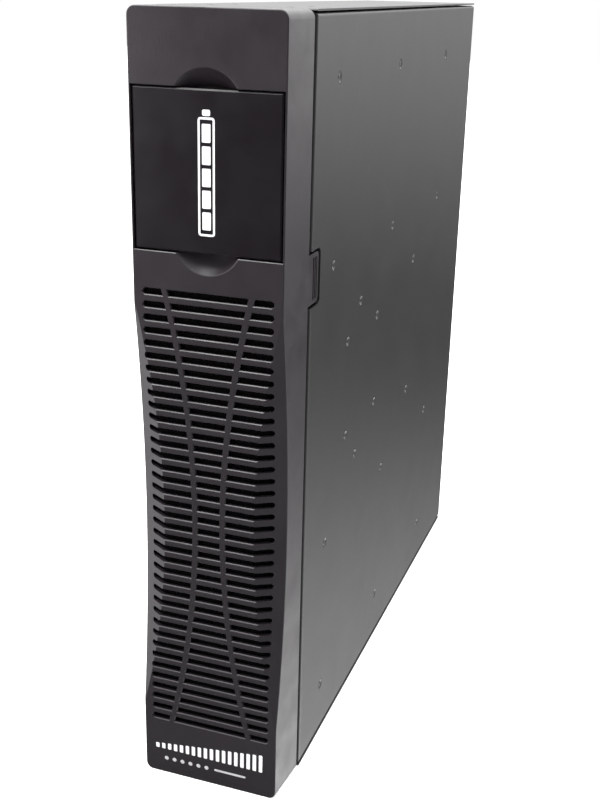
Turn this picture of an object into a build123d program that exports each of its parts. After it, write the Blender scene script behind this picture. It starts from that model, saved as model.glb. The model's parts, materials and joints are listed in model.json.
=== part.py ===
from build123d import *
import math
import os

os.makedirs("parts", exist_ok=True)

# ---------------------------------------------------------------- driving dimensions, in mm
# X runs across the narrow width, Y from the front to the rear, Z up. A depth is a distance
# behind the bezel's front face. The origin is the middle of the base of the whole box.
WIDTH = 88.0
HEIGHT = 438.0
DEPTH = 410.0  # bezel front to the rear edge of the shell
REAR_PROUD = 12.0  # how far the ground stud reaches past the shell
FRONT_Y = -(DEPTH + REAR_PROUD) / 2
HALF_W = WIDTH / 2

SHEET = 1.2  # steel sheet
BEZEL_DEPTH = 30.0
BEZEL_FACE_HALF = 41.6  # the bezel narrows towards its front face
BEZEL_CORNER = 4.5
BEZEL_WALL = 2.2
BEZEL_EDGE = 0.7
CHASSIS_FRONT = 34.0

WAIST_Z = 170.0  # height of the grille's narrow waist
WAIST_HALF = 26.2  # half width of the flat field at the waist
FACET_RADIUS = 500.0
FACET_SLOPE = 0.61  # depth gained per mm outwards from the flat field

ROWS = 38
ROW_PITCH = 7.0
TOP_ROW_Z = 298.2
SLOT_HEIGHT = 3.4
SLOT_HALF = 36.5
SLOT_BREAK = 0.45
RIB_WAIST = 8.1
RIB_RADIUS = 540.2
RIB_WIDTH = 3.4
RIB_Z = 168.5

TILE_HALF = 39.7
TILE_Z = (320.5, 400.9)
TILE_THICK = 6.0
POCKET_HALF = 40.6
POCKET_Z = (319.8, 401.5)
POCKET_DEPTH = 9.0
SCOOP_RADIUS = 19.4  # of the circle that a finger scoop draws on the front face
SCOOP_DEPTH = 11.0
SCOOP_Z = (329.1, 391.4)

NOTCH_Z = (288.4, 319.1)
NOTCH_END = 49.0
TONGUE_END = 47.3
TONGUE_GAP = 1.6  # above and below the tongue

TRAY_HALF = 37.5
TRAY_Z = (17.0, 421.0)
TRAY_END = 345.2
BATTERY = (65.0, 151.0, 94.0)  # width, length, height without terminals
BATTERY_X = -28.9
BATTERY_PITCH = 100.2
TERMINAL_HEIGHT = 6.0
FIRST_BATTERY_Z = 18.6
COLUMN_DEPTHS = (41.2, 192.6)  # front of each column of batteries
HANDLE_REACH = 21.0
HANDLE_ROD = 2.5
HANDLE_Z = (98.0, 202.0)
SCREW_Z = (10.0, 428.0)  # thumbscrews and bezel studs

EAR_DEPTHS = (56.0, 88.0)
EAR_HALF = 22.0
EAR_HOLE = 2.1

CONNECTOR_Z = (112.0, 150.0)
BREAKER_Z = 281.0
GROUND_Z = 62.0
RUNNING = 0.06  # clearance of a turning pin in its hole
STUD_NECK = 2.1  # radius of the ground stud inside its nut

# round press studs in the large panel: depth and height of each
STUDS = [(d, z) for d in (72.5, 196.0, 321.0) for z in (404.0, 304.0, 134.0, 34.6)]
STUDS += [(129.5, 270.0), (257.5, 269.0), (129.0, 170.0), (257.0, 172.0)]
STUDS += [(105.0, 251.0), (168.0, 251.0), (107.0, 190.5), (169.5, 191.6)]


# ---------------------------------------------------------------- helpers
def y_at(depth):
    """The Y of a depth behind the bezel's front face."""
    return FRONT_Y + depth


def block(xs, depths, zs, mode=Mode.ADD):
    """A box between two X, two depths and two Z."""
    with Locations(((xs[0] + xs[1]) / 2, y_at(sum(depths) / 2), (zs[0] + zs[1]) / 2)):
        Box(xs[1] - xs[0], depths[1] - depths[0], zs[1] - zs[0], mode=mode)


def rod(x, z, radius, depths, mode=Mode.ADD):
    """A round bar along Y between two depths."""
    with Locations((x, y_at(sum(depths) / 2), z)):
        Cylinder(radius, depths[1] - depths[0], rotation=(90, 0, 0), mode=mode)


def facet_cones(offset, mode):
    """The two cones that cut the side facets, moved inwards by offset."""
    reach = offset / math.sin(math.atan(FACET_SLOPE))
    start, stop = -2.0, 20.0
    near = FACET_RADIUS + reach - start / FACET_SLOPE
    far = FACET_RADIUS + reach - stop / FACET_SLOPE
    for side in (-1, 1):
        axis_x = side * (WAIST_HALF + FACET_RADIUS)
        with Locations((axis_x, y_at((start + stop) / 2), WAIST_Z)):
            Cone(near, far, stop - start, rotation=(-90, 0, 0), mode=mode)


def scoop_spheres(offset, mode):
    """The two dished finger scoops, grown by offset."""
    radius = (SCOOP_RADIUS**2 + SCOOP_DEPTH**2) / (2 * SCOOP_DEPTH)
    for z in SCOOP_Z:
        with Locations((0, y_at(SCOOP_DEPTH - radius), z)):
            Sphere(radius + offset, mode=mode)


def turned(points, axis=Axis.Z):
    """A body turned about Z from its half outline of (radius, height) points."""
    with BuildSketch(Plane.XZ) as profile:
        with BuildLine():
            Polyline(*points, close=True)
        make_face()
    revolve(profile.sketch, axis=axis)


def tube(points, radius, bends):
    """A round lead along runs joined by arcs."""
    with BuildLine() as route:
        FilletPolyline(*points, radius=bends)
    with BuildSketch(Plane(origin=route.line @ 0, z_dir=route.line % 0)) as section:
        Circle(radius)
    sweep(section.sketch, path=route.line)


def finish(name, part):
    """Label a finished piece and write its file."""
    part.label = name
    export_step(part, f"parts/{name}.step")


ABOVE = (0, 0, 0)
BELOW = (180, 0, 0)
BEHIND = (-90, 0, 0)
AHEAD = (90, 0, 0)
TO_RIGHT = (0, 90, 0)

# ---------------------------------------------------------------- front bezel
with BuildPart() as bezel_hollow:
    with BuildSketch(Plane.XZ.offset(-y_at(BEZEL_WALL))) as hollow_front:
        with Locations((0, HEIGHT / 2)):
            RectangleRounded(
                2 * (BEZEL_FACE_HALF - BEZEL_WALL), HEIGHT - 2 * BEZEL_WALL, BEZEL_CORNER - BEZEL_WALL
            )
    with BuildSketch(Plane.XZ.offset(-y_at(BEZEL_DEPTH + 1))) as hollow_rear:
        with Locations((0, HEIGHT / 2)):
            RectangleRounded(
                2 * (HALF_W - BEZEL_WALL), HEIGHT - 2 * BEZEL_WALL, BEZEL_CORNER - BEZEL_WALL
            )
    loft()
    facet_cones(BEZEL_WALL, Mode.SUBTRACT)
    scoop_spheres(BEZEL_WALL, Mode.SUBTRACT)
    block(
        (-HALF_W, HALF_W),
        (0, POCKET_DEPTH + BEZEL_WALL),
        (POCKET_Z[0] - BEZEL_WALL, POCKET_Z[1] + BEZEL_WALL),
        Mode.SUBTRACT,
    )

TONGUE_FACE = 43.4
LIP_HALF = 39.6
LIP_INNER = 37.8
LIP_END = CHASSIS_FRONT - 0.2
POCKET_RIM = 0.35  # broken edge of the tile pocket and the scoops
with BuildPart() as front_bezel:
    with BuildSketch(Plane.XZ.offset(-y_at(0))) as face_outline:
        with Locations((0, HEIGHT / 2)):
            RectangleRounded(2 * BEZEL_FACE_HALF, HEIGHT, BEZEL_CORNER)
    with BuildSketch(Plane.XZ.offset(-y_at(BEZEL_DEPTH))) as rear_outline:
        with Locations((0, HEIGHT / 2)):
            RectangleRounded(WIDTH, HEIGHT, BEZEL_CORNER)
    loft()
    facet_cones(0, Mode.SUBTRACT)
    front_edges = front_bezel.edges().filter_by(
        lambda e: e.center().Y < y_at(10) and max(v.Y for v in e.vertices()) < y_at(BEZEL_DEPTH - 1)
    )
    rim_edges = front_edges.filter_by(lambda e: e.bounding_box().size.Z > 1 or e.bounding_box().size.X > 1)
    fillet(rim_edges, BEZEL_EDGE)
    # tile pocket and the dished scoops that reach behind the tile's edges
    block((-POCKET_HALF, POCKET_HALF), (-1, POCKET_DEPTH), POCKET_Z, Mode.SUBTRACT)
    scoop_spheres(0, Mode.SUBTRACT)
    pocket_rim = front_bezel.edges().filter_by(
        lambda e: abs(e.center().Y - y_at(0)) < 0.001
        and abs(e.center().X) < POCKET_HALF + 0.1
        and POCKET_Z[0] - 12 < e.center().Z < POCKET_Z[1] + 12
    )
    chamfer(pocket_rim, POCKET_RIM)
    add(bezel_hollow.part, mode=Mode.SUBTRACT)
    # locating lip behind the rear edge, set in so that the seam stays dark
    with BuildSketch(Plane.XZ.offset(-y_at(LIP_END))):
        with Locations((0, HEIGHT / 2)):
            RectangleRounded(2 * LIP_HALF, HEIGHT - 3.6, 3.0)
            RectangleRounded(2 * LIP_INNER, HEIGHT - 7.6, 1.5, mode=Mode.SUBTRACT)
    extrude(amount=LIP_END - 28.0)
    for side in (-1, 1):
        block(sorted((side * LIP_INNER, side * 42.4)), (27.0, BEZEL_DEPTH), (6.0, HEIGHT - 6.0))
    # snap tongues that sit in the notches of the side panels
    for side in (-1, 1):
        tongue = sorted((side * 41.2, side * TONGUE_FACE))
        block(tongue, (28.0, TONGUE_END), (NOTCH_Z[0] + TONGUE_GAP, NOTCH_Z[1] - TONGUE_GAP))
    tongue_ends = front_bezel.edges().filter_by(Axis.X).filter_by(
        lambda e: abs(e.center().Y - y_at(TONGUE_END)) < 0.01
    )
    fillet(tongue_ends, 2.4)
    for side in (-1, 1):
        ridge_x = sorted((side * (TONGUE_FACE - 0.1), side * (TONGUE_FACE + 0.4)))
        for ridge in (39.5, 42.0, 44.5):
            block(ridge_x, (ridge - 0.4, ridge + 0.4), (NOTCH_Z[0] + 4.0, NOTCH_Z[1] - 4.0))
    # bosses for the ball studs
    for x in (-30, 30):
        for z in SCREW_Z:
            rod(x, z, 4.2, (BEZEL_WALL - 0.5, 27.0))
            rod(x, z, 2.0, (19.0, 28.0), Mode.SUBTRACT)
    # slots for the tile's snap legs
    for x in (-26, 26):
        block((x - 5.5, x + 5.5), (5, 15), (358.0, 363.4), Mode.SUBTRACT)
    # grille rows, parted by two curved ribs
    with BuildSketch(Plane.XZ.offset(-y_at(-2))) as grille:
        with Locations(*[(0, TOP_ROW_Z - ROW_PITCH * row) for row in range(ROWS)]):
            SlotOverall(2 * SLOT_HALF, SLOT_HEIGHT)
        for side in (-1, 1):
            with BuildSketch(mode=Mode.PRIVATE) as rib:
                with Locations((side * (RIB_WAIST + RIB_RADIUS), RIB_Z)):
                    Circle(RIB_RADIUS + RIB_WIDTH / 2)
                    Circle(RIB_RADIUS - RIB_WIDTH / 2, mode=Mode.SUBTRACT)
            add(rib.sketch, mode=Mode.SUBTRACT)
    extrude(amount=-16, mode=Mode.SUBTRACT)
    # broken front edges of the slots on the flat field
    with BuildSketch(Plane.XZ.offset(-y_at(0))):
        with Locations((0, 0)):
            add(grille.sketch.moved(Location((0, y_at(2), 0))))
        offset(amount=SLOT_BREAK, kind=Kind.INTERSECTION, mode=Mode.REPLACE)
    extrude(amount=-SLOT_BREAK, taper=45, mode=Mode.SUBTRACT)
finish("front_bezel", front_bezel.part)

SCREEN_GAP = 0.15
SCREEN_THICK = 1.5
with BuildPart() as screen_core:
    block((-40, 40), (BEZEL_WALL + SCREEN_GAP + SCREEN_THICK, 24), (30, 310))
    facet_cones(BEZEL_WALL + SCREEN_GAP + SCREEN_THICK, Mode.SUBTRACT)
with BuildPart() as dust_screen:
    block((-37.6, 37.6), (BEZEL_WALL + SCREEN_GAP, 16), (34.5, 303))
    facet_cones(BEZEL_WALL + SCREEN_GAP, Mode.SUBTRACT)
    add(screen_core.part, mode=Mode.SUBTRACT)
finish("dust_screen", dust_screen.part)

with BuildPart() as bezel_ball_studs:
    for x in (-30, 30):
        for z in SCREW_Z:
            rod(x, z, 2.0, (19.0, 38.0))
            with Locations((x, y_at(39.5), z)):
                Sphere(3.0)
finish("bezel_ball_studs", bezel_ball_studs.part)

# ---------------------------------------------------------------- label tile
with BuildPart() as label_tile:
    block((-TILE_HALF, TILE_HALF), (0.2, TILE_THICK), TILE_Z)
    face = label_tile.faces().sort_by(Axis.Y)[0]
    chamfer(face.edges(), 0.8)
    block((-36, 36), (3.0, TILE_THICK), (TILE_Z[0] + 8, TILE_Z[1] - 8), Mode.SUBTRACT)
    for x in (-26, 26):
        block((x - 4.5, x + 4.5), (2.5, 14.0), (359.0, 360.6))
        block((x - 4.5, x + 4.5), (12.0, 14.0), (360.6, 362.4))
finish("label_tile", label_tile.part)

# ---------------------------------------------------------------- chassis sheet metal
FLANGE = 4.8
SHELL_INNER = HALF_W - SHEET
PANEL_Z = (1.8, HEIGHT - 1.8)
REAR_EDGE = DEPTH


def screw_body(head_radius, head_height, shank_radius, length):
    """A countersunk screw with a cross recess, its head's top at the origin, pointing down."""
    with BuildPart() as screw:
        turned(
            [
                (0, 0),
                (head_radius, 0),
                (shank_radius, -head_height),
                (shank_radius, -length),
                (0, -length),
            ]
        )
        for turn in (0, 90):
            with Locations(Location((0, 0, 0), (0, 0, turn))):
                Box(2.6, 0.6, 1.4, mode=Mode.SUBTRACT)
    return screw.part


def pan_screw(head_radius, head_height, shank_radius, length):
    """A pan-head screw with a cross recess, seated at the origin, its head above."""
    with BuildPart() as screw:
        turned(
            [
                (0, head_height),
                (head_radius * 0.7, head_height),
                (head_radius, head_height * 0.5),
                (head_radius, 0),
                (shank_radius, 0),
                (shank_radius, -length),
                (0, -length),
            ]
        )
        for turn in (0, 90):
            with Locations(Location((0, 0, head_height), (0, 0, turn))):
                Box(head_radius * 1.1, 0.6, head_height, mode=Mode.SUBTRACT)
    return screw.part


FLUSH = (2.8, 1.1, 1.5, 5.0)
flush_screw = screw_body(*FLUSH)

# flush screws through both narrow walls: cover flange row, rear panel row, front frame row
COVER_SCREWS = [(36.5, d) for d in (70.0, 165.0, 260.0, 355.0)]
REAR_EDGE_SCREWS = [(-28.0, 400.0), (20.0, 400.0)]
FRAME_SCREWS = [(-14.0, 41.5), (14.0, 41.5)]
WALL_SCREWS = COVER_SCREWS + REAR_EDGE_SCREWS + FRAME_SCREWS


def flush_holes(places):
    """Countersunk holes in both narrow walls."""
    for x, depth in places:
        for z, tilt in ((HEIGHT, ABOVE), (0, BELOW)):
            with Locations(Location((x, y_at(depth), z), tilt)):
                with Locations((0, 0, -FLUSH[1] / 2)):
                    Cone(FLUSH[2] + 0.05, FLUSH[0] + 0.1, FLUSH[1], mode=Mode.SUBTRACT)
                Cylinder(FLUSH[2] + 0.05, 14, mode=Mode.SUBTRACT)


with BuildPart() as chassis_shell:
    with BuildSketch(Plane.XZ.offset(-y_at(CHASSIS_FRONT))):
        with Locations((0, HEIGHT / 2)):
            Rectangle(WIDTH, HEIGHT)
    extrude(amount=-(REAR_EDGE - CHASSIS_FRONT))
    fillet(chassis_shell.edges().filter_by(Axis.Y).group_by(Axis.X)[0], 2.2)
    block((-SHELL_INNER, HALF_W + 1), (CHASSIS_FRONT, REAR_EDGE), (1.0, HEIGHT - 1.0), Mode.SUBTRACT)
    block((-SHELL_INNER, FLANGE - SHELL_INNER), (CHASSIS_FRONT, CHASSIS_FRONT + SHEET), (1.0, HEIGHT - 1.0))
    block((-HALF_W, -40.8), (CHASSIS_FRONT - 1, NOTCH_END), NOTCH_Z, Mode.SUBTRACT)
    notch_ends = chassis_shell.edges().filter_by(Axis.X).filter_by(
        lambda e: abs(e.center().Y - y_at(NOTCH_END)) < 0.01
    )
    fillet(notch_ends, 3.5)
    front_bend = chassis_shell.edges().filter_by(Axis.Z).filter_by(
        lambda e: abs(e.center().Y - y_at(CHASSIS_FRONT)) < 0.01 and abs(e.center().X + HALF_W) < 0.01
    )
    fillet(front_bend, 1.0)
    flush_holes(WALL_SCREWS)
    for z in (0, HEIGHT):
        with Locations(*[(x, y_at(d), z) for x in (-EAR_HALF, EAR_HALF) for d in EAR_DEPTHS]):
            Cylinder(EAR_HOLE, 8, mode=Mode.SUBTRACT)
finish("chassis_shell", chassis_shell.part)

PRESS_HEAD = 3.4
PRESS_SHANK = 1.4
PRESS_DISH = 0.6  # ring-shaped groove in each head
with BuildPart() as base_pan:
    block((SHELL_INNER - 12, HALF_W), (CHASSIS_FRONT, REAR_EDGE), PANEL_Z)
    outer_bends = base_pan.edges().filter_by(
        lambda e: abs(e.center().X - HALF_W) < 0.01 and abs(e.center().Y - y_at(REAR_EDGE)) > 1
    )
    fillet(outer_bends, 1.8)
    block(
        (SHELL_INNER - 13, SHELL_INNER),
        (CHASSIS_FRONT + SHEET, REAR_EDGE + 1),
        (PANEL_Z[0] + SHEET, PANEL_Z[1] - SHEET),
        Mode.SUBTRACT,
    )
    block(
        (SHELL_INNER - 13, SHELL_INNER - FLANGE),
        (CHASSIS_FRONT - 1, CHASSIS_FRONT + SHEET + 1),
        (PANEL_Z[0] - 1, PANEL_Z[1] + 1),
        Mode.SUBTRACT,
    )
    block((40.8, HALF_W + 1), (CHASSIS_FRONT - 1, NOTCH_END), NOTCH_Z, Mode.SUBTRACT)
    pan_notch = base_pan.edges().filter_by(Axis.X).filter_by(
        lambda e: abs(e.center().Y - y_at(NOTCH_END)) < 0.01
    )
    fillet(pan_notch, 3.5)
    with Locations(*[(SHELL_INNER + SHEET / 2, y_at(d), z) for d, z in STUDS]):
        Cylinder(PRESS_HEAD + 0.15, 2 * SHEET, rotation=TO_RIGHT, mode=Mode.SUBTRACT)
    for x, depth in COVER_SCREWS:
        with Locations((x, y_at(depth), 0), (x, y_at(depth), HEIGHT)):
            Cylinder(FLUSH[2] + 0.05, 12, mode=Mode.SUBTRACT)
finish("base_pan", base_pan.part)

with BuildPart() as press_stud:
    turned(
        [
            (0, -0.1),
            (1.1, -0.1),
            (1.9, -PRESS_DISH),
            (PRESS_HEAD - 0.4, 0),
            (PRESS_HEAD, 0),
            (PRESS_HEAD, -SHEET),
            (PRESS_SHANK, -SHEET),
            (PRESS_SHANK, -4.2),
            (0, -4.2),
        ]
    )
with BuildPart() as press_studs:
    with Locations(*[Location((HALF_W, y_at(d), z), TO_RIGHT) for d, z in STUDS]):
        add(press_stud.part)
finish("press_studs", press_studs.part)

# thin sheet behind the large panel, held by push-on washers on the studs
LINER = (SHELL_INNER - 0.6, SHELL_INNER - 0.1)
RAIL_CENTRES = (92.0, 350.0)
RAIL_HALF = 15.0
with BuildPart() as base_liner:
    block(LINER, (56.0, 390.0), (10.0, HEIGHT - 10.0))
    for z in RAIL_CENTRES:
        block((LINER[0] - 1, SHELL_INNER), (50.0, 400.0), (z - 17, z + 17), Mode.SUBTRACT)
    with Locations(*[(SHELL_INNER, y_at(d), z) for d, z in STUDS]):
        Cylinder(1.6, 4, rotation=TO_RIGHT, mode=Mode.SUBTRACT)
finish("base_liner", base_liner.part)

with BuildPart() as push_washers:
    with Locations(*[(LINER[0] - 0.4, y_at(d), z) for d, z in STUDS]):
        Cylinder(3.4, 0.8, rotation=TO_RIGHT)
        Cylinder(PRESS_SHANK, 0.8, rotation=TO_RIGHT, mode=Mode.SUBTRACT)
finish("push_washers", push_washers.part)

with BuildPart() as side_liner:
    block((-SHELL_INNER, -SHELL_INNER + 0.5), (52.0, 396.0), (22.0, HEIGHT - 22.0))
finish("side_liner", side_liner.part)

FRAME_FRONT = CHASSIS_FRONT + SHEET
FRAME_REAR = FRAME_FRONT + SHEET
FRAME_Z = (1.0, HEIGHT - 1.0)
with BuildPart() as front_frame:
    block((-SHELL_INNER, 30.0), (FRAME_FRONT, 48.0), FRAME_Z)
    block((-SHELL_INNER, SHELL_INNER), (FRAME_FRONT, 48.0), (PANEL_Z[0] + SHEET, PANEL_Z[1] - SHEET))
    block(
        (-SHELL_INNER + SHEET, 29.0),
        (FRAME_REAR, 50.0),
        (FRAME_Z[0] + SHEET, FRAME_Z[1] - SHEET),
        Mode.SUBTRACT,
    )
    block((20.0, SHELL_INNER - SHEET), (FRAME_REAR, 50.0), (4.5, HEIGHT - 4.5), Mode.SUBTRACT)
    block((-38.0, 38.0), (FRAME_FRONT - 1, FRAME_REAR + 1), (15.5, 422.5), Mode.SUBTRACT)
    for side in (-1, 1):
        cheek = sorted((side * 40.6, side * HALF_W))
        block(cheek, (FRAME_FRONT - 1, 50.0), (NOTCH_Z[0] - 1, NOTCH_Z[1] + 1), Mode.SUBTRACT)
    for z in SCREW_Z:
        rod(0, z, 2.6, (30, 50), Mode.SUBTRACT)
        for x in (-30, 30):
            rod(x, z, 3.3, (30, FRAME_REAR + 1), Mode.SUBTRACT)
    flush_holes(FRAME_SCREWS)
finish("front_frame", front_frame.part)

with BuildPart() as stud_receptacles:
    for x in (-30, 30):
        for z in SCREW_Z:
            rod(x, z, 4.8, (FRAME_REAR, 45.0))
            rod(x, z, 3.2, (FRAME_REAR - 1, 46.0), Mode.SUBTRACT)
finish("stud_receptacles", stud_receptacles.part)

with BuildPart() as frame_nuts:
    for z in SCREW_Z:
        rod(0, z, 4.0, (FRAME_REAR, 42.0))
        rod(0, z, 2.1, (FRAME_REAR - 1, 43.0), Mode.SUBTRACT)
finish("frame_nuts", frame_nuts.part)

with BuildPart() as wall_screws:
    for x, depth in WALL_SCREWS:
        with Locations(
            Location((x, y_at(depth), HEIGHT), ABOVE), Location((x, y_at(depth), 0), BELOW)
        ):
            add(flush_screw)
finish("wall_screws", wall_screws.part)

with BuildPart() as ear_nuts:
    for z, inwards in ((1.0 + 1.5, 1), (HEIGHT - 1.0 - 1.5, -1)):
        with Locations(*[(x, y_at(d), z) for x in (-EAR_HALF, EAR_HALF) for d in EAR_DEPTHS]):
            Cylinder(3.6, 3.0)
            Cylinder(EAR_HOLE, 3.0, mode=Mode.SUBTRACT)
finish("ear_nuts", ear_nuts.part)

# ---------------------------------------------------------------- tray rails
RAIL_FACE = 37.7
RAIL_DEPTHS = (52.0, 352.0)
with BuildPart() as guide_rails:
    for z in RAIL_CENTRES:
        block((RAIL_FACE, RAIL_FACE + 1), RAIL_DEPTHS, (z - 8, z + 8))
        for side in (-1, 1):
            block((RAIL_FACE, SHELL_INNER), RAIL_DEPTHS, sorted((z + side * 8, z + side * 7)))
            foot = sorted((z + side * 7, z + side * RAIL_HALF))
            block((SHELL_INNER - 1, SHELL_INNER), RAIL_DEPTHS, foot)
finish("guide_rails", guide_rails.part)

SIDE_RAIL_TOP = TRAY_Z[0] - 0.2
with BuildPart() as side_rails:
    for flip in (False, True):
        for xs, zs in (
            ((-12, 12), (SIDE_RAIL_TOP - 1, SIDE_RAIL_TOP)),
            ((-12, -11), (1.0, SIDE_RAIL_TOP)),
            ((11, 12), (1.0, SIDE_RAIL_TOP)),
            ((-17, -11), (1.0, 2.0)),
            ((11, 17), (1.0, 2.0)),
        ):
            if flip:
                zs = (HEIGHT - zs[1], HEIGHT - zs[0])
            block(xs, RAIL_DEPTHS, zs)
finish("side_rails", side_rails.part)

# ---------------------------------------------------------------- battery tray
BAR_DEPTHS = (118.0, 269.0)
BAR_X = (BATTERY_X - 1.2, BATTERY_X)
pan_x = (TRAY_HALF - SHEET, TRAY_HALF)
BATTERY_RIGHT = BATTERY_X + BATTERY[0]
with BuildPart() as tray_pan:
    block(pan_x, (CHASSIS_FRONT + SHEET, TRAY_END), TRAY_Z)
    for zs in ((TRAY_Z[0], TRAY_Z[0] + SHEET), (TRAY_Z[1] - SHEET, TRAY_Z[1])):
        block((BAR_X[0], TRAY_HALF), (CHASSIS_FRONT + SHEET, TRAY_END), zs)
    block((BAR_X[0], TRAY_HALF), (TRAY_END - SHEET, TRAY_END), TRAY_Z)
finish("tray_pan", tray_pan.part)

PLATE = (CHASSIS_FRONT, CHASSIS_FRONT + SHEET)
with BuildPart() as tray_front_plate:
    block((-37.6, 37.6), PLATE, (16.5, 421.5))
    block((-18, 18), PLATE, (5.0, 433.0))
    plate_corners = tray_front_plate.edges().filter_by(Axis.Y)
    fillet(plate_corners.filter_by(lambda e: e.center().Z < 6 or e.center().Z > 432), 3.0)
    for z in SCREW_Z:
        rod(0, z, 2.3, (30, 40), Mode.SUBTRACT)
    # air holes in front of the batteries
    air_holes = [(x, y_at(PLATE[0]), z) for x in (-24, -8, 8, 24) for z in range(230, 311, 16)]
    with Locations(*air_holes):
        Cylinder(3.0, 6, rotation=AHEAD, mode=Mode.SUBTRACT)
finish("tray_front_plate", tray_front_plate.part)

BAIL_DEPTH = PLATE[0] - 3.4
BAIL_X = -HANDLE_REACH / 2
BRACKET_OUT = 4.4
with BuildPart() as handle_brackets:
    for end, side in ((HANDLE_Z[0], -1), (HANDLE_Z[1], 1)):
        near = end + side * (HANDLE_ROD + 0.5)
        zs = sorted((near, near + side * BRACKET_OUT))
        block((BAIL_X - 5, BAIL_X + 5), (BAIL_DEPTH, PLATE[0]), zs)
        with Locations((BAIL_X, y_at(BAIL_DEPTH), sum(zs) / 2)):
            Cylinder(3.4, BRACKET_OUT)
        with Locations((BAIL_X, y_at(BAIL_DEPTH), sum(zs) / 2)):
            Cylinder(HANDLE_ROD * 0.7 + RUNNING, 2 * BRACKET_OUT, mode=Mode.SUBTRACT)
finish("handle_brackets", handle_brackets.part)

with BuildPart() as tray_handle:
    corner_in = (BAIL_X, y_at(BAIL_DEPTH), HANDLE_Z[0])
    grip_low = (BAIL_X + HANDLE_REACH, y_at(BAIL_DEPTH), HANDLE_Z[0])
    grip_high = (BAIL_X + HANDLE_REACH, y_at(BAIL_DEPTH), HANDLE_Z[1])
    corner_out = (BAIL_X, y_at(BAIL_DEPTH), HANDLE_Z[1])
    tube([corner_in, grip_low, grip_high, corner_out], HANDLE_ROD, 5.0)
    for end, side in ((HANDLE_Z[0], -1), (HANDLE_Z[1], 1)):
        with Locations((BAIL_X, y_at(BAIL_DEPTH), end)):
            Cylinder(3.2, 2 * HANDLE_ROD)
        reach = HANDLE_ROD + 0.5 + BRACKET_OUT
        with Locations((BAIL_X, y_at(BAIL_DEPTH), end + side * reach / 2)):
            Cylinder(HANDLE_ROD * 0.7, reach)
finish("tray_handle", tray_handle.part)

for name, z in (("lower_thumbscrew", SCREW_Z[0]), ("upper_thumbscrew", SCREW_Z[1])):
    with BuildPart() as thumbscrew:
        rod(0, z, 2.0, (25.0, 44.0))
        rod(0, z, 5.2, (25.0, 32.6))
        for turn in range(0, 360, 20):
            angle = math.radians(turn)
            rod(
                5.4 * math.cos(angle),
                z + 5.4 * math.sin(angle),
                0.5,
                (26.0, 31.6),
                Mode.SUBTRACT,
            )
        rod(0, z, 3.0, (32.6, PLATE[0] - 0.15))
        block((-4, 4), (24.5, 26.2), (z - 0.6, z + 0.6), Mode.SUBTRACT)
    finish(name, thumbscrew.part)

# ---------------------------------------------------------------- batteries
BATTERY_LOW_Z = [FIRST_BATTERY_Z + BATTERY_PITCH * n for n in range(4)]
CASE_WALL = 2.0
LID_HEIGHT = 8.0
with BuildPart() as battery_cases:
    for start in COLUMN_DEPTHS:
        for low in BATTERY_LOW_Z:
            rim = low + BATTERY[2] - LID_HEIGHT
            block((BATTERY_X, BATTERY_RIGHT), (start, start + BATTERY[1]), (low, rim))
            block(
                (BATTERY_X + CASE_WALL, BATTERY_RIGHT - CASE_WALL),
                (start + CASE_WALL, start + BATTERY[1] - CASE_WALL),
                (low + CASE_WALL, low + BATTERY[2]),
                Mode.SUBTRACT,
            )
finish("battery_cases", battery_cases.part)

with BuildPart() as battery_lids:
    for start in COLUMN_DEPTHS:
        for low in BATTERY_LOW_Z:
            top = low + BATTERY[2]
            end = start + BATTERY[1]
            block((BATTERY_X, BATTERY_RIGHT), (start, end), (top - LID_HEIGHT, top - 1.5))
            block((BATTERY_X + 6, BATTERY_RIGHT - 3), (start + 16, end - 16), (top - 1.5, top))
finish("battery_lids", battery_lids.part)

CELLS = 6
CELL_PITCH = (BATTERY[1] - 2 * CASE_WALL) / CELLS
with BuildPart() as plate_packs:
    for start in COLUMN_DEPTHS:
        for low in BATTERY_LOW_Z:
            for cell in range(CELLS):
                front = start + CASE_WALL + CELL_PITCH * cell
                block(
                    (BATTERY_X + 5, BATTERY_RIGHT - 5),
                    (front + 1.5, front + CELL_PITCH - 1.5),
                    (low + CASE_WALL, low + 46.0),
                )
finish("plate_packs", plate_packs.part)

TERMINAL_X = -20.0
POST_INSET = 9.0
POST_DEPTHS = [d for s in COLUMN_DEPTHS for d in (s + POST_INSET, s + BATTERY[1] - POST_INSET)]
with BuildPart() as battery_terminals:
    for depth in POST_DEPTHS:
        for low in BATTERY_LOW_Z:
            top = low + BATTERY[2]
            block(
                (TERMINAL_X - 0.4, TERMINAL_X + 0.4),
                (depth - 3.2, depth + 3.2),
                (top - 1.5, top + TERMINAL_HEIGHT - 0.6),
            )
finish("battery_terminals", battery_terminals.part)

LEAD = 1.6
NEAR_LAYER = -31.2
FAR_LAYER = -35.0
LEAD_START = TERMINAL_X - 0.4
LEAD_LIFT = BATTERY[2] + 2.4  # height of a lead above the foot of its battery


def lead_z(battery):
    return BATTERY_LOW_Z[battery] + LEAD_LIFT


jumpers = []
for first_post, second_post in ((POST_DEPTHS[1], POST_DEPTHS[0]), (POST_DEPTHS[2], POST_DEPTHS[3])):
    for battery, depth in enumerate((first_post, second_post, first_post)):
        low, high = lead_z(battery), lead_z(battery + 1)
        with BuildPart() as jumper:
            tube(
                [
                    (LEAD_START, y_at(depth), low),
                    (NEAR_LAYER, y_at(depth), low),
                    (NEAR_LAYER, y_at(depth), high),
                    (LEAD_START, y_at(depth), high),
                ],
                LEAD,
                4.8,
            )
        jumpers.append(jumper.part)
with BuildPart() as series_jumpers:
    for piece in jumpers:
        add(piece)
finish("series_jumpers", series_jumpers.part)

PLUG_X = (-37.0, -13.0)
PLUG_Z = (194.0, 238.0)
PLUG_DEPTH = (TRAY_END, 356.0)


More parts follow.
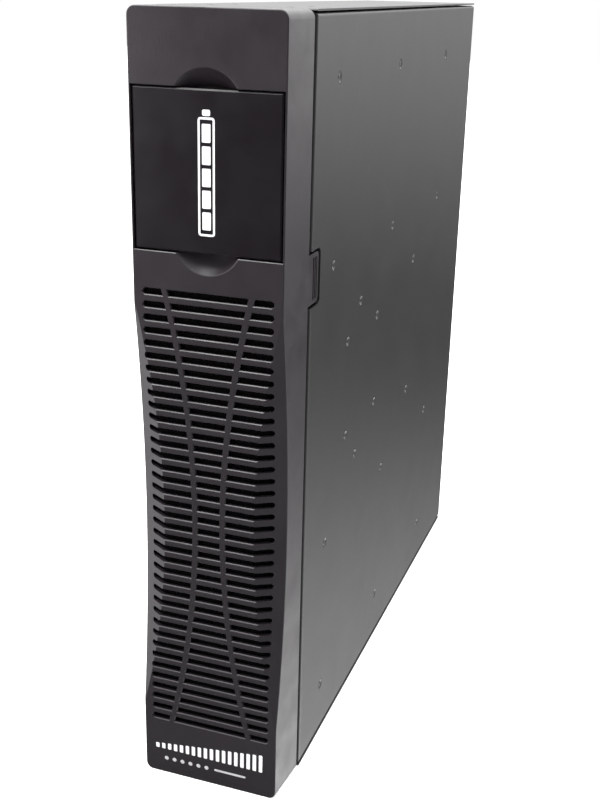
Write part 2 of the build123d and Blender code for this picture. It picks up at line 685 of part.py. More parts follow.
def string_lead(front_post, battery, rise, entry_z):
    """A lead from a string's end terminal, along the open side, into the front of the plug."""
    start = lead_z(battery)
    points = [(LEAD_START, y_at(front_post), start), (FAR_LAYER, y_at(front_post), start)]
    if rise:
        points += [(FAR_LAYER, y_at(rise[0]), start), (FAR_LAYER, y_at(rise[1]), entry_z)]
    else:
        points += [(FAR_LAYER, y_at(front_post), entry_z)]
    points += [(FAR_LAYER, y_at(PLUG_DEPTH[0]), entry_z)]
    with BuildPart() as lead:
        tube(points, LEAD, 4.0)
    return lead.part


string_parts = {
    "string_leads_black": [
        string_lead(POST_DEPTHS[0], 0, (270.0, 318.0), 208.0),
        string_lead(POST_DEPTHS[3], 0, None, 200.0),
    ],
    "string_leads_red": [
        string_lead(POST_DEPTHS[0], 3, (240.0, 300.0), 224.0),
        string_lead(POST_DEPTHS[3], 3, None, 232.0),
    ],
}
for name, leads in string_parts.items():
    with BuildPart() as lead_group:
        for piece in leads:
            add(piece)
    finish(name, lead_group.part)

with BuildPart() as foam_pads:
    for start in COLUMN_DEPTHS:
        for low in BATTERY_LOW_Z[1:]:
            block(
                (BATTERY_X + 8, BATTERY_RIGHT - 4),
                (start + 22, start + BATTERY[1] - 22),
                (low - BATTERY_PITCH + BATTERY[2], low),
            )
finish("foam_pads", foam_pads.part)

with BuildPart() as retaining_bars:
    for depth in BAR_DEPTHS:
        block(BAR_X, (depth - 8, depth + 8), (TRAY_Z[0] + SHEET, TRAY_Z[1] - SHEET))
        for zs in ((TRAY_Z[0] + SHEET, TRAY_Z[0] + 1.3), (TRAY_Z[1] - 1.3, TRAY_Z[1] - SHEET)):
            block((BAR_X[0], BAR_X[0] + 8), (depth - 8, depth + 8), zs)
finish("retaining_bars", retaining_bars.part)

PIN_X = -25.0
PIN_RADIUS = 2.5
PIN_Z = (202.0, 230.0)
with BuildPart() as tray_plug:
    block(PLUG_X, PLUG_DEPTH, PLUG_Z)
    fillet(tray_plug.edges().filter_by(Axis.Y), 2.0)
    for z in PIN_Z:
        rod(PIN_X, z, PIN_RADIUS, (PLUG_DEPTH[0] + 4, PLUG_DEPTH[1] + 1), Mode.SUBTRACT)
finish("tray_plug", tray_plug.part)

with BuildPart() as plug_pins:
    for z in PIN_Z:
        rod(PIN_X, z, PIN_RADIUS, (PLUG_DEPTH[0] + 4, 368.0))
finish("plug_pins", plug_pins.part)

# ---------------------------------------------------------------- rear compartment
DOCK_DEPTH = (356.4, 378.0)
CONTACT_RADIUS = 3.4
CONTACT_DEPTHS = (370.0, 374.0)
with BuildPart() as dock_socket:
    block((-38.0, -12.0), DOCK_DEPTH, (192.0, 240.0))
    fillet(dock_socket.edges().filter_by(Axis.Y), 2.0)
    for z in PIN_Z:
        rod(PIN_X, z, PIN_RADIUS + 0.1, (355.0, 370.0), Mode.SUBTRACT)
        rod(PIN_X, z, CONTACT_RADIUS, CONTACT_DEPTHS, Mode.SUBTRACT)
finish("dock_socket", dock_socket.part)

with BuildPart() as dock_contacts:
    for z in PIN_Z:
        rod(PIN_X, z, CONTACT_RADIUS, CONTACT_DEPTHS)
finish("dock_contacts", dock_contacts.part)

with BuildPart() as dock_bracket:
    block((-41.0, LINER[0]), (366.0, 366.0 + SHEET), (182.0, 250.0))
    block((LINER[0] - SHEET, LINER[0]), (366.0, 384.0), (182.0, 250.0))
    block((-38.0, -12.0), (365.0, 368.0), (192.0, 240.0), Mode.SUBTRACT)
finish("dock_bracket", dock_bracket.part)

REAR_PLATE = (407.6, 408.8)
VENT_ROWS = 9
with BuildPart() as rear_panel:
    block((-SHELL_INNER + 0.1, SHELL_INNER - 0.1), (394.0, REAR_PLATE[1]), (1.0, HEIGHT - 1.0))
    block(
        (-SHELL_INNER + 0.1, 50.0),
        (393.0, REAR_PLATE[0]),
        (1.0 + SHEET, HEIGHT - 1.0 - SHEET),
        Mode.SUBTRACT,
    )
    block((30.0, 50.0), (393.0, REAR_PLATE[0]), (0.0, HEIGHT), Mode.SUBTRACT)
    block((SHELL_INNER - 13, 50.0), (393.0, 412.0), (0.0, PANEL_Z[0] + SHEET), Mode.SUBTRACT)
    block((SHELL_INNER - 13, 50.0), (393.0, 412.0), (PANEL_Z[1] - SHEET, HEIGHT), Mode.SUBTRACT)
    with BuildSketch(Plane.XZ.offset(-y_at(412))):
        for centre in (372.0, 218.0):
            with Locations(*[(0, centre + 7 * (row - VENT_ROWS // 2)) for row in range(VENT_ROWS)]):
                SlotOverall(60, 3.4)
    extrude(amount=8, mode=Mode.SUBTRACT)
    for z in CONNECTOR_Z:
        block((-16.2, 16.2), (400, 412), (z - 10.2, z + 10.2), Mode.SUBTRACT)
        for x in (-21, 21):
            rod(x, z, 1.55, (400, 412), Mode.SUBTRACT)
    block((-9.2, 9.2), (400, 412), (BREAKER_Z - 16.2, BREAKER_Z + 16.2), Mode.SUBTRACT)
    for z in (BREAKER_Z - 21, BREAKER_Z + 21):
        rod(0, z, 1.55, (400, 412), Mode.SUBTRACT)
    rod(0, GROUND_Z, STUD_NECK + RUNNING, (400, 412), Mode.SUBTRACT)
    flush_holes(REAR_EDGE_SCREWS)
finish("rear_panel", rear_panel.part)

HOUSING = (386.0, 418.0)
CAVITY = (402.0, 419.0)
with BuildPart() as dc_housings:
    for z in CONNECTOR_Z:
        block((-16.0, 16.0), HOUSING, (z - 10, z + 10))
    fillet(dc_housings.edges().filter_by(Axis.Y), 1.6)
    for z in CONNECTOR_Z:
        for x in (-7.6, 7.6):
            block((x - 6.2, x + 6.2), CAVITY, (z - 7.6, z + 7.6), Mode.SUBTRACT)
            block((x - 1.0, x + 1.0), (392, 404), (z + 3.6, z + 6.0), Mode.SUBTRACT)
finish("dc_housings", dc_housings.part)

with BuildPart() as dc_contacts:
    for z in CONNECTOR_Z:
        for x in (-7.6, 7.6):
            block((x - 1.0, x + 1.0), (392, 404), (z + 3.6, z + 6.0))
            block((x - 4.0, x + 4.0), (404, 415), (z + 4.4, z + 6.0))
            block((x - 1.0, x + 1.0), (403, 405), (z + 4.4, z + 6.0))
finish("dc_contacts", dc_contacts.part)

with BuildPart() as dc_frames:
    for z in CONNECTOR_Z:
        block((-25.0, 25.0), (REAR_PLATE[1], REAR_EDGE), (z - 13, z + 13))
    fillet(dc_frames.edges().filter_by(Axis.Y), 3.0)
    for z in CONNECTOR_Z:
        block((-16.1, 16.1), (400, 412), (z - 10.1, z + 10.1), Mode.SUBTRACT)
        for x in (-21, 21):
            rod(x, z, 1.55, (400, 412), Mode.SUBTRACT)
finish("dc_frames", dc_frames.part)

pan_head = pan_screw(2.8, 1.6, 1.5, 6.0)
with BuildPart() as rear_screws:
    for z in CONNECTOR_Z:
        with Locations(*[Location((x, y_at(REAR_EDGE), z), BEHIND) for x in (-21, 21)]):
            add(pan_head)
    for z in (BREAKER_Z - 21, BREAKER_Z + 21):
        with Locations(Location((0, y_at(REAR_PLATE[1]), z), BEHIND)):
            add(pan_head)
finish("rear_screws", rear_screws.part)

LEVER_PIVOT = 408.0
with BuildPart() as breaker_body:
    block((-9.0, 9.0), (372.0, 411.0), (BREAKER_Z - 16, BREAKER_Z + 16))
    block((-9.0, 9.0), (403.0, REAR_PLATE[0]), (BREAKER_Z - 25, BREAKER_Z + 25))
    block((-4.6, 4.6), (398.0, 412.0), (BREAKER_Z - 11, BREAKER_Z + 11), Mode.SUBTRACT)
    for z in (BREAKER_Z - 21, BREAKER_Z + 21):
        rod(0, z, 1.5, (400, 412), Mode.SUBTRACT)
    with Locations((0, y_at(LEVER_PIVOT - 2), BREAKER_Z)):
        Cylinder(1.5 + RUNNING, 14, rotation=TO_RIGHT, mode=Mode.SUBTRACT)
finish("breaker_body", breaker_body.part)

with BuildPart() as breaker_lever:
    with Locations((0, y_at(LEVER_PIVOT - 2), BREAKER_Z)):
        Cylinder(1.5, 13.6, rotation=TO_RIGHT)
        Cylinder(5.4, 8.6, rotation=TO_RIGHT)
    with BuildSketch(Plane.YZ.offset(-3.4)) as toggle:
        with Locations(Location((y_at(LEVER_PIVOT - 2), BREAKER_Z, 0), (0, 0, 30))):
            with Locations((7.0, 0)):
                Rectangle(14.0, 4.6)
    extrude(amount=6.8)
    fillet(breaker_lever.edges().filter_by(Axis.X).sort_by(Axis.Y)[-2:], 1.2)
finish("breaker_lever", breaker_lever.part)

STUD_NECK_END = 414.4  # the stud is relieved up to just past its nut
with BuildPart() as ground_stud:
    rod(0, GROUND_Z, STUD_NECK, (401.0, STUD_NECK_END))
    rod(0, GROUND_Z, 2.5, (STUD_NECK_END, DEPTH + REAR_PROUD))
    rod(0, GROUND_Z, 5.0, (404.6, REAR_PLATE[0]))
    chamfer(ground_stud.edges().filter_by(GeomType.CIRCLE).sort_by(Axis.Y)[-1], 0.5)
finish("ground_stud", ground_stud.part)

with BuildPart() as ground_hardware:
    rod(0, GROUND_Z, 5.2, (REAR_PLATE[1], 409.8))
    with BuildSketch(Plane.XZ.offset(-y_at(410.0))):
        with Locations((0, GROUND_Z)):
            RegularPolygon(4.0, 6, major_radius=False)
    extrude(amount=-4.0)
    rod(0, GROUND_Z, STUD_NECK, (400, 416), Mode.SUBTRACT)
finish("ground_hardware", ground_hardware.part)

FUSE_Z = (120.0, 168.0)
with BuildPart() as fuse_block:
    block((21.0, LINER[0] - 0.9), (362.0, 384.0), FUSE_Z)
    block((20.0, 36.0), (364.0, 382.0), (FUSE_Z[0] + 5, FUSE_Z[1] - 5), Mode.SUBTRACT)
finish("fuse_block", fuse_block.part)

with BuildPart() as fuses:
    with Locations((28.0, y_at(373.0), sum(FUSE_Z) / 2)):
        Cylinder(5.1, FUSE_Z[1] - FUSE_Z[0] - 10)
finish("fuses", fuses.part)

lead_routes = {
    "supply_lead_red": [
        [(-25, 378, 230), (-25, 392, 230), (-25, 392, 281), (-9, 392, 281)],
        [(9, 392, 281), (31, 392, 281), (31, 392, 190), (31, 373, 190), (31, 373, 168)],
        [(29, 373, 120), (29, 373, 106), (29, 380, 98), (7.6, 380, 98), (7.6, 380, 112), (7.6, 386, 112)],
    ],
    "connector_links": [
        [(x, 386, 118), (x, 379, 118), (x, 379, 144), (x, 386, 144)] for x in (-7.6, 7.6)
    ],
    "supply_lead_black": [
        [
            (-25, 378, 202),
            (-25, 386, 202),
            (-25, 386, 168),
            (-7.6, 378, 168),
            (-7.6, 378, 150),
            (-7.6, 386, 150),
        ],
    ],
}
for name, routes in lead_routes.items():
    pieces = []
    for route in routes:
        with BuildPart() as lead:
            tube([(x, y_at(d), z) for x, d, z in route], 2.2, 3.0)
        pieces.append(lead.part)
    with BuildPart() as lead_group:
        for piece in pieces:
            add(piece)
    finish(name, lead_group.part)
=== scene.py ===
"""Server rack battery: materials, printed marks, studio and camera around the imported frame."""

import json
import math

import bmesh
import bpy
from mathutils import Matrix, Vector


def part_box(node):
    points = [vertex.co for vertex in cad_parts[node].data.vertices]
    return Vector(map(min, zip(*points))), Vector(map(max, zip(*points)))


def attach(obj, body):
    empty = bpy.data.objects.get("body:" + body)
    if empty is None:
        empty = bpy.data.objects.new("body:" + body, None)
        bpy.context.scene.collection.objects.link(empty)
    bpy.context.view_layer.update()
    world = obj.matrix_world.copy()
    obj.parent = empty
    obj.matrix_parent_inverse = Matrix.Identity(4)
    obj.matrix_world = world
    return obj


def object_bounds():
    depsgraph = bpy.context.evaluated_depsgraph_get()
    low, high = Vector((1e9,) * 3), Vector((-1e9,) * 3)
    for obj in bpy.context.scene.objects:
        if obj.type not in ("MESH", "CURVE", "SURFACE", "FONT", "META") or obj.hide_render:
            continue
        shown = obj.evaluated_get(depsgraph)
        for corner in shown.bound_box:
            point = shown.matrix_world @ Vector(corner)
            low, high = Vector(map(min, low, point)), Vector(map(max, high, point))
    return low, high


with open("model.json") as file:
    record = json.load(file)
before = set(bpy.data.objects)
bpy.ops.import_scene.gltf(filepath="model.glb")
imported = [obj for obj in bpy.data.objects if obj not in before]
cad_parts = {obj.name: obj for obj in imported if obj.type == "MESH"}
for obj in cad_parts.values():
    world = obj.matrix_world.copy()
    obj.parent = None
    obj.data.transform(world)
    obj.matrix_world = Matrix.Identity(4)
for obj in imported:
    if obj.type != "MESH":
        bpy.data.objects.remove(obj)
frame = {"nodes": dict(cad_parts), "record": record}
CAD_BOX = [list(corner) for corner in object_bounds()]
NODES = frame["nodes"]
MM = 0.001
FRONT_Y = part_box("front_bezel")[0].y
BASE_Z = CAD_BOX[0][2]


# ---------------------------------------------------------------- material helpers
# parts of a noise's range over which a mix or a roughness is spread
MOTTLED = (0.35, 0.7)
EVEN = (0.3, 0.7)
SPECKS = (0.76, 0.8)


class Shader:
    """One procedural material, built node by node around a Principled BSDF."""

    def __init__(self, name, color, roughness, metallic=0.0, specular=0.5):
        self.material = bpy.data.materials.new(name)
        self.material.use_nodes = True
        self.tree = self.material.node_tree
        self.bsdf = self.tree.nodes["Principled BSDF"]
        self.bsdf.inputs["Base Color"].default_value = (*color, 1)
        self.bsdf.inputs["Roughness"].default_value = roughness
        self.bsdf.inputs["Metallic"].default_value = metallic
        self.bsdf.inputs["Specular IOR Level"].default_value = specular
        self.color = color
        self.place = self.node("ShaderNodeTexCoord").outputs["Object"]
        self.normal = None

    def node(self, kind, **settings):
        made = self.tree.nodes.new(kind)
        for key, value in settings.items():
            setattr(made, key, value)
        return made

    def link(self, source, target):
        self.tree.links.new(source, target)

    def stretched(self, scale):
        """Object coordinates scaled differently along each axis."""
        mapping = self.node("ShaderNodeMapping")
        mapping.inputs["Scale"].default_value = scale
        self.link(self.place, mapping.inputs["Vector"])
        return mapping.outputs["Vector"]

    def noise(self, scale, detail=3.0, stretch=None):
        """Noise of a number of cells per metre."""
        made = self.node("ShaderNodeTexNoise")
        made.inputs["Scale"].default_value = scale
        made.inputs["Detail"].default_value = detail
        self.link(self.stretched(stretch) if stretch else self.place, made.inputs["Vector"])
        return made.outputs["Fac"]

    def remap(self, value, spread, low, high):
        """Map the two ends of spread to low and high."""
        made = self.node("ShaderNodeMapRange")
        for key, number in zip(("From Min", "From Max", "To Min", "To Max"), (*spread, low, high)):
            made.inputs[key].default_value = number
        self.link(value, made.inputs["Value"])
        return made.outputs["Result"]

    def vary_color(self, factor, other):
        """Mix the base colour towards another by a factor socket."""
        mix = self.node("ShaderNodeMix", data_type="RGBA")
        source = self.bsdf.inputs["Base Color"]
        if source.is_linked:
            self.link(source.links[0].from_socket, mix.inputs["A"])
        else:
            mix.inputs["A"].default_value = (*self.color, 1)
        mix.inputs["B"].default_value = (*other, 1)
        self.link(factor, mix.inputs["Factor"])
        self.link(mix.outputs["Result"], source)

    def mottle(self, value, spread, amount, factor):
        """Mix in up to an amount of the base colour times a factor, where a value is high."""
        self.vary_color(self.remap(value, spread, 0.0, amount), shade(self.color, factor))

    def vary_roughness(self, value, low, high):
        self.link(self.remap(value, EVEN, low, high), self.bsdf.inputs["Roughness"])

    def bump(self, height, depth):
        """Add relief of a depth in metres to what is there already."""
        made = self.node("ShaderNodeBump")
        made.inputs["Distance"].default_value = depth
        self.link(height, made.inputs["Height"])
        if self.normal:
            self.link(self.normal, made.inputs["Normal"])
        self.normal = made.outputs["Normal"]
        self.link(self.normal, self.bsdf.inputs["Normal"])


def shade(color, factor):
    return tuple(channel * factor for channel in color)


def moulded_plastic(name, color, roughness, grain=1600.0, depth=0.04 * MM, specular=0.5):
    """Spark-eroded plastic: fine even grain, slight handling marks."""
    s = Shader(name, color, roughness, specular=specular)
    s.mottle(s.noise(14.0, 4.0), MOTTLED, 0.5, 1.25)
    s.vary_roughness(s.noise(60.0, 5.0), roughness - 0.05, roughness + 0.06)
    s.bump(s.noise(grain, 2.0), depth)
    return s.material


def powder_coat(name, color, roughness):
    """Sprayed steel: slight orange peel, dust specks and rubbed patches."""
    s = Shader(name, color, roughness)
    s.mottle(s.noise(9.0, 4.0), MOTTLED, 0.4, 1.2)
    s.mottle(s.noise(900.0, 1.0), SPECKS, 0.5, 3.0)
    s.vary_roughness(s.noise(35.0, 3.0), roughness - 0.01, roughness + 0.02)
    s.bump(s.noise(420.0, 3.0), 0.05 * MM)
    s.bump(s.noise(2200.0, 1.0), 0.02 * MM)
    return s.material


def plated_steel(name, color, roughness):
    """Zinc-plated or rolled metal with fine drawn lines."""
    s = Shader(name, color, roughness, metallic=1.0)
    lines = s.noise(500.0, 4.0, stretch=(1, 60, 1))
    s.mottle(s.noise(45.0, 4.0), (0.3, 0.75), 0.35, 0.75)
    s.vary_roughness(lines, roughness - 0.06, roughness + 0.12)
    s.bump(lines, 0.01 * MM)
    return s.material


def soft_foam(name, color, specular=0.2):
    """Open-celled foam, darker between the cells."""
    s = Shader(name, color, 0.95, specular=specular)
    cells = s.node("ShaderNodeTexVoronoi")
    cells.inputs["Scale"].default_value = 700.0
    s.link(s.place, cells.inputs["Vector"])
    s.mottle(cells.outputs["Distance"], (0.1, 0.7), 1.0, 0.35)
    s.bump(cells.outputs["Distance"], 0.4 * MM)
    return s.material


def cable_sheath(name, color):
    """Soft insulation, a little scuffed."""
    s = Shader(name, color, 0.42)
    s.mottle(s.noise(80.0, 3.0), MOTTLED, 0.5, 0.7)
    s.vary_roughness(s.noise(240.0, 3.0), 0.36, 0.52)
    s.bump(s.noise(900.0, 2.0), 0.03 * MM)
    return s.material


def printed_ink(name, color):
    """Screen print with slight wear."""
    s = Shader(name, color, 0.55)
    s.mottle(s.noise(700.0, 4.0), (0.45, 0.75), 0.5, 0.72)
    s.bump(s.noise(1800.0, 1.0), 0.01 * MM)
    return s.material


SLOT_MATERIALS = {
    "bezel_plastic": moulded_plastic("bezel_plastic", (0.0158, 0.0126, 0.0156), 0.38),
    "tile_plastic": moulded_plastic(
        "tile_plastic", (0.0065, 0.0048, 0.0068), 0.34, grain=2400.0, depth=0.01 * MM, specular=0.32
    ),
    # filter_foam is a real black dust filter, but its near-black colour and weak specular are painted
    # shade: they stand in for the darkness inside the grille slots
    "filter_foam": soft_foam("filter_foam", (0.002, 0.002, 0.002), specular=0.05),
    "case_steel": powder_coat("case_steel", (0.0145, 0.0148, 0.0145), 0.38),
    "black_steel": powder_coat("black_steel", (0.014, 0.014, 0.015), 0.45),
    "zinc_steel": plated_steel("zinc_steel", (0.62, 0.62, 0.60), 0.32),
    "liner_film": moulded_plastic("liner_film", (0.02, 0.02, 0.022), 0.5),
    "battery_abs": moulded_plastic("battery_abs", (0.022, 0.023, 0.025), 0.42, 900.0, 0.06 * MM),
    "battery_lid_abs": moulded_plastic(
        "battery_lid_abs", (0.030, 0.031, 0.034), 0.40, 900.0, 0.06 * MM
    ),
    "lead_plates": plated_steel("lead_plates", (0.30, 0.31, 0.33), 0.6),
    "terminal_metal": plated_steel("terminal_metal", (0.80, 0.76, 0.66), 0.25),
    "contact_metal": plated_steel("contact_metal", (0.86, 0.80, 0.66), 0.2),
    "lead_black": cable_sheath("lead_black", (0.012, 0.012, 0.012)),
    "lead_red": cable_sheath("lead_red", (0.42, 0.018, 0.014)),
    "jumper_blue": cable_sheath("jumper_blue", (0.016, 0.045, 0.18)),
    "connector_plastic": moulded_plastic("connector_plastic", (0.085, 0.085, 0.09), 0.48, 1200.0),
    "foam": soft_foam("foam", (0.03, 0.03, 0.032)),
    "breaker_plastic": moulded_plastic("breaker_plastic", (0.02, 0.02, 0.02), 0.35),
    "lever_plastic": moulded_plastic(
        "lever_plastic", (0.55, 0.54, 0.52), 0.3, 1800.0, 0.01 * MM
    ),
    "fuse_ceramic": moulded_plastic(
        "fuse_ceramic", (0.74, 0.73, 0.69), 0.4, 1200.0, 0.02 * MM
    ),
}
for entry in frame["record"]["subparts"]:
    node = NODES[entry["node"]]
    node.data.materials.clear()
    node.data.materials.append(SLOT_MATERIALS[entry["material_slot"]])

INK = printed_ink("white_ink", (0.70, 0.71, 0.72))
FAINT_INK = printed_ink("grey_ink", (0.42, 0.42, 0.43))


# ---------------------------------------------------------------- printed marks
INK_THICK = 0.05 * MM
CORNER_STEPS = 6


def rounded_outline(width, height, radius):
    """Corner points of a rounded rectangle round the origin."""
    points = []
    for corner, (sx, sy) in enumerate(((1, 1), (-1, 1), (-1, -1), (1, -1))):
        for step in range(CORNER_STEPS + 1):
            angle = math.pi / 2 * (corner + step / CORNER_STEPS)
            points.append(
                (
                    sx * (width / 2 - radius) + radius * math.cos(angle),
                    sy * (height / 2 - radius) + radius * math.sin(angle),
                )
            )
    return points


def add_plate(mesh, outline, x, z, face_y, hole=None):
    """A plate of ink in the XZ plane, half sunk in the face at face_y.

    hole is an inner outline with as many points as outline.
    """
    front_y = face_y - INK_THICK / 2
    back_y = front_y + INK_THICK
    front = [mesh.verts.new((x + px, front_y, z + pz)) for px, pz in outline]
    back = [mesh.verts.new((v.co.x, back_y, v.co.z)) for v in front]
    count = len(outline)
    if hole is None:
        mesh.faces.new(list(front))
        mesh.faces.new(list(reversed(back)))
    else:
        inner = [mesh.verts.new((x + px, front_y, z + pz)) for px, pz in hole]
        inner_back = [mesh.verts.new((v.co.x, back_y, v.co.z)) for v in inner]
        for i in range(count):
            j = (i + 1) % count
            mesh.faces.new((front[i], front[j], inner[j], inner[i]))
            mesh.faces.new((back[j], back[i], inner_back[i], inner_back[j]))
            mesh.faces.new((inner[i], inner[j], inner_back[j], inner_back[i]))
    for i in range(count):
        j = (i + 1) % count
        mesh.faces.new((front[j], front[i], back[i], back[j]))


def printed_piece(name, body, material, build):
    """A mesh piece made by build(bmesh), riding on a body."""
    mesh = bmesh.new()
    build(mesh)
    bmesh.ops.recalc_face_normals(mesh, faces=mesh.faces)
    data = bpy.data.meshes.new(name)
    mesh.to_mesh(data)
    mesh.free()
    piece = bpy.data.objects.new(name, data)
    bpy.context.scene.collection.objects.link(piece)
    data.materials.append(material)
    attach(piece, body)


tile_low, tile_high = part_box("label_tile")
SYMBOL_Z = (tile_low.z + tile_high.z) / 2 - 2 * MM
SYMBOL_WIDTH, SYMBOL_LENGTH = 9.0 * MM, 58 * MM
SYMBOL_WALL, SYMBOL_RADIUS = 1.1 * MM, 1.6 * MM
NUB_WIDTH, NUB_LENGTH, NUB_RADIUS = 4.2 * MM, 3.0 * MM, 0.8 * MM
NUB_LIFT = 2.1 * MM  # of the nub's middle over the outline
CHARGE_BLOCKS = 5
BLOCKS_INSET = 4.4 * MM  # of the blocks in the outline, both sides together
BLOCK_GAP, BLOCK_RADIUS = 1.8 * MM, 0.5 * MM


def battery_symbol(mesh):
    """An upright battery outline with charge blocks, in place of the tile's caption."""
    add_plate(
        mesh,
        rounded_outline(SYMBOL_WIDTH, SYMBOL_LENGTH, SYMBOL_RADIUS),
        0,
        SYMBOL_Z,
        tile_low.y,
        hole=rounded_outline(
            SYMBOL_WIDTH - 2 * SYMBOL_WALL,
            SYMBOL_LENGTH - 2 * SYMBOL_WALL,
            SYMBOL_RADIUS - SYMBOL_WALL,
        ),
    )
    nub = rounded_outline(NUB_WIDTH, NUB_LENGTH, NUB_RADIUS)
    add_plate(mesh, nub, 0, SYMBOL_Z + SYMBOL_LENGTH / 2 + NUB_LIFT, tile_low.y)
    step = (SYMBOL_LENGTH - BLOCKS_INSET) / CHARGE_BLOCKS
    block = rounded_outline(SYMBOL_WIDTH - BLOCKS_INSET, step - BLOCK_GAP, BLOCK_RADIUS)
    for n in range(CHARGE_BLOCKS):
        z = SYMBOL_Z - SYMBOL_LENGTH / 2 + BLOCKS_INSET / 2 + step * (n + 0.5)
        add_plate(mesh, block, 0, z, tile_low.y)


GAUGE_BARS = 18
GAUGE_LENGTH = 69.9 * MM
GAUGE_LEFT = -35.6 * MM
GAUGE_FOOT_Z = BASE_Z + 16.8 * MM
SHORTEST_BAR_MM, BAR_GROWTH_MM = 3.2, 8.4
BAR_WIDTH, BAR_RADIUS = 2.2 * MM, 0.5 * MM


def gauge_row(mesh):
    """A row of plain bars, taller towards one end, low on the bezel."""
    pitch = GAUGE_LENGTH / GAUGE_BARS
    for n in range(GAUGE_BARS):
        height = (SHORTEST_BAR_MM + BAR_GROWTH_MM * n / (GAUGE_BARS - 1)) * MM
        bar = rounded_outline(BAR_WIDTH, height, BAR_RADIUS)
        add_plate(mesh, bar, (n + 0.5) * pitch + GAUGE_LEFT, GAUGE_FOOT_Z + height / 2, FRONT_Y)


DOTS_Z = BASE_Z + 10.4 * MM
DOT_SIZE = 2.6 * MM
DOTS = 6
FIRST_DOT_MM, DOT_PITCH_MM = -28.0, 5.2
DASH_X, DASH_LENGTH, DASH_HEIGHT = 13 * MM, 20 * MM, 1.4 * MM


def dot_row(mesh):
    """A row of small dots and a dash under the gauge."""
    dot = rounded_outline(DOT_SIZE, DOT_SIZE, DOT_SIZE / 2)
    for n in range(DOTS):
        add_plate(mesh, dot, (FIRST_DOT_MM + DOT_PITCH_MM * n) * MM, DOTS_Z, FRONT_Y)
    dash = rounded_outline(DASH_LENGTH, DASH_HEIGHT, DASH_HEIGHT / 2)
    add_plate(mesh, dash, DASH_X, DOTS_Z, FRONT_Y)


printed_piece("tile_battery_symbol", "label_tile_body", INK, battery_symbol)
printed_piece("bezel_gauge_mark", "bezel", INK, gauge_row)
printed_piece("bezel_dot_mark", "bezel", FAINT_INK, dot_row)


# ---------------------------------------------------------------- studio
FLOOR_SIDE = 14  # metres
FLOOR_GLOW = 0.45


def studio_floor():
    """A plain pale floor with a glow of its own, kept out of reflections."""
    s = Shader("studio_floor", (0.86, 0.86, 0.855), 0.7, specular=0.3)
    s.vary_color(s.remap(s.noise(3.0, 3.0), EVEN, 0.0, 0.3), (0.84, 0.84, 0.84))
    s.bsdf.inputs["Emission Color"].default_value = (1, 1, 1, 1)
    s.bsdf.inputs["Emission Strength"].default_value = FLOOR_GLOW
    mesh = bmesh.new()
    bmesh.ops.create_grid(mesh, x_segments=1, y_segments=1, size=0.5)
    data = bpy.data.meshes.new("studio_floor")
    mesh.to_mesh(data)
    mesh.free()
    data.materials.append(s.material)
    floor = bpy.data.objects.new("studio_floor", data)
    floor.scale = (FLOOR_SIDE, FLOOR_SIDE, 1)
    floor.location = (0, 0, BASE_Z)
    floor.visible_glossy = False
    bpy.context.scene.collection.objects.link(floor)


def area_light(name, energy, size, location, target, color=(1, 1, 1)):
    """A rectangular lamp aimed at a target; sizes and places are in metres."""
    data = bpy.data.lights.new(name, "AREA")
    data.shape = "RECTANGLE"
    data.size, data.size_y = size
    data.energy = energy
    data.color = color
    lamp = bpy.data.objects.new(name, data)
    lamp.location = location
    aim = Vector(target) - Vector(location)
    lamp.rotation_euler = aim.to_track_quat("-Z", "Y").to_euler()
    bpy.context.scene.collection.objects.link(lamp)


studio_floor()
area_light("overhead", 11, (0.5, 0.5), (-0.4, -0.55, 1.35), (0, 0, 0.22))
area_light(
    "left_front", 1.1, (0.16, 0.16), (-0.44, -0.56, 0.36), (0, -0.2, 0.36), (1.0, 0.93, 0.97)
)

# what the object reflects: brightness by elevation, as (degrees, level) pairs, lowest first
REAR_LEVELS = (
    (-60, 0.1), (-37, 0.12), (-30, 0.9), (-25, 0.66), (-18, 0.04),
    (-13, 0.02), (-6, 0.07), (4, 0.1), (24, 3.4),
)
RIGHT_REAR_LEVELS = (
    (-60, 6.0), (-37, 6.0), (-30, 1.9), (-25, 0.7), (-18, 0.0),
    (-12, 0.0), (-5, 2.0), (2, 3.6), (20, 3.2),
)
RIGHT_LEVELS = ((-60, 1.6), (30, 1.6))
LEFT_LEVELS = ((-60, 1.5), (30, 1.5))
FRONT_LEVELS = ((-60, 0.25), (-30, 0.12), (-5, 0.02), (20, 0.03), (60, 1.6))
# each sector's way, the dot products where it begins and is full, and its levels;
# a later sector covers an earlier one, and REAR_LEVELS fills what is left
SECTORS = (
    ((1, 0, 0), 0.2, 0.5, RIGHT_REAR_LEVELS),
    ((0.92, 0.4, 0), 0.84, 0.97, RIGHT_LEVELS),
    ((-1, 0, 0), 0.5, 0.85, LEFT_LEVELS),
    ((0.35, -0.94, 0), -0.25, 0.75, FRONT_LEVELS),
)


def sky_levels(tree, height, levels):
    """A ramp of (degrees, level) pairs over height, which runs from 0 straight down to 1 straight up."""
    ramp = tree.nodes.new("ShaderNodeValToRGB")
    while len(ramp.color_ramp.elements) < len(levels):
        ramp.color_ramp.elements.new(0.5)
    for element, (degrees, level) in zip(ramp.color_ramp.elements, levels):
        element.position = (math.sin(math.radians(degrees)) + 1) / 2
        element.color = (level, level, level, 1)
    tree.links.new(height, ramp.inputs["Fac"])
    return ramp.outputs["Color"]


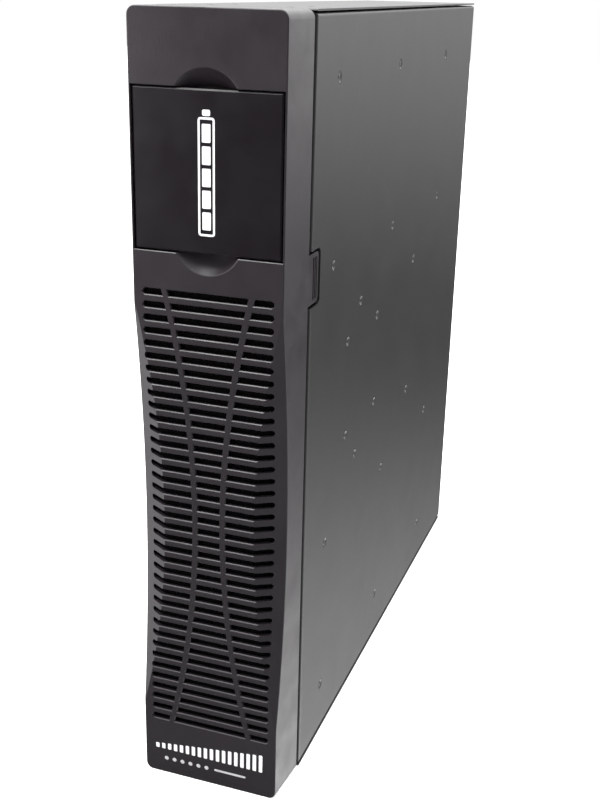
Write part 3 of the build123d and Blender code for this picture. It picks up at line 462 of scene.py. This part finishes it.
def studio_world():
    """White where the camera looks; what the object reflects follows SECTORS."""
    world = bpy.data.worlds.new("studio_world")
    world.use_nodes = True
    tree = world.node_tree
    new, link = tree.nodes.new, tree.links.new
    way = new("ShaderNodeTexCoord").outputs["Generated"]
    parts = new("ShaderNodeSeparateXYZ")
    link(way, parts.inputs["Vector"])
    height = new("ShaderNodeMapRange")
    height.inputs["From Min"].default_value = -1
    link(parts.outputs["Z"], height.inputs["Value"])
    level = sky_levels(tree, height.outputs["Result"], REAR_LEVELS)
    for direction, begins, full, levels in SECTORS:
        towards = new("ShaderNodeVectorMath")
        towards.operation = "DOT_PRODUCT"
        towards.inputs[1].default_value = direction
        link(way, towards.inputs[0])
        share = new("ShaderNodeMapRange")
        share.interpolation_type = "SMOOTHSTEP"
        share.inputs["From Min"].default_value = begins
        share.inputs["From Max"].default_value = full
        link(towards.outputs["Value"], share.inputs["Value"])
        mixed = new("ShaderNodeMix")
        mixed.data_type = "RGBA"
        link(share.outputs["Result"], mixed.inputs["Factor"])
        link(level, mixed.inputs["A"])
        link(sky_levels(tree, height.outputs["Result"], levels), mixed.inputs["B"])
        level = mixed.outputs["Result"]
    lit = tree.nodes["Background"]
    link(level, lit.inputs["Color"])
    seen = new("ShaderNodeBackground")
    seen.inputs["Color"].default_value = (1, 1, 1, 1)
    choose = new("ShaderNodeMixShader")
    link(new("ShaderNodeLightPath").outputs["Is Camera Ray"], choose.inputs["Fac"])
    link(lit.outputs["Background"], choose.inputs[1])
    link(seen.outputs["Background"], choose.inputs[2])
    link(choose.outputs["Shader"], tree.nodes["World Output"].inputs["Surface"])
    bpy.context.scene.world = world


studio_world()
bpy.context.scene.view_settings.view_transform = "Standard"

# ---------------------------------------------------------------- camera
AZIMUTH, ELEVATION, ROLL = map(math.radians, (19.09, 19.94, 1.36))
# from the point on the front face's plane over the origin's X, at the base
CAMERA_FROM_FACE = (230.33 * MM, -517.31 * MM, 448.96 * MM)
SENSOR = 36.0
FOCAL_IN_HEIGHTS = 1.43264  # focal length over the picture's height
CLIP_START, CLIP_END = 0.01, 50

forward = Vector(
    (
        -math.sin(AZIMUTH) * math.cos(ELEVATION),
        math.cos(AZIMUTH) * math.cos(ELEVATION),
        -math.sin(ELEVATION),
    )
)
level_right = forward.cross(Vector((0, 0, 1))).normalized()
level_up = level_right.cross(forward)
right = math.cos(ROLL) * level_right + math.sin(ROLL) * level_up
up = -math.sin(ROLL) * level_right + math.cos(ROLL) * level_up
camera_data = bpy.data.cameras.new("camera")
camera_data.sensor_width = SENSOR
camera_data.lens = FOCAL_IN_HEIGHTS * SENSOR
camera_data.clip_start, camera_data.clip_end = CLIP_START, CLIP_END
camera = bpy.data.objects.new("camera", camera_data)
camera.matrix_world = Matrix.Translation(
    (CAMERA_FROM_FACE[0], FRONT_Y + CAMERA_FROM_FACE[1], BASE_Z + CAMERA_FROM_FACE[2])
) @ Matrix((right, up, -forward)).transposed().to_4x4()
bpy.context.scene.collection.objects.link(camera)
bpy.context.scene.camera = camera
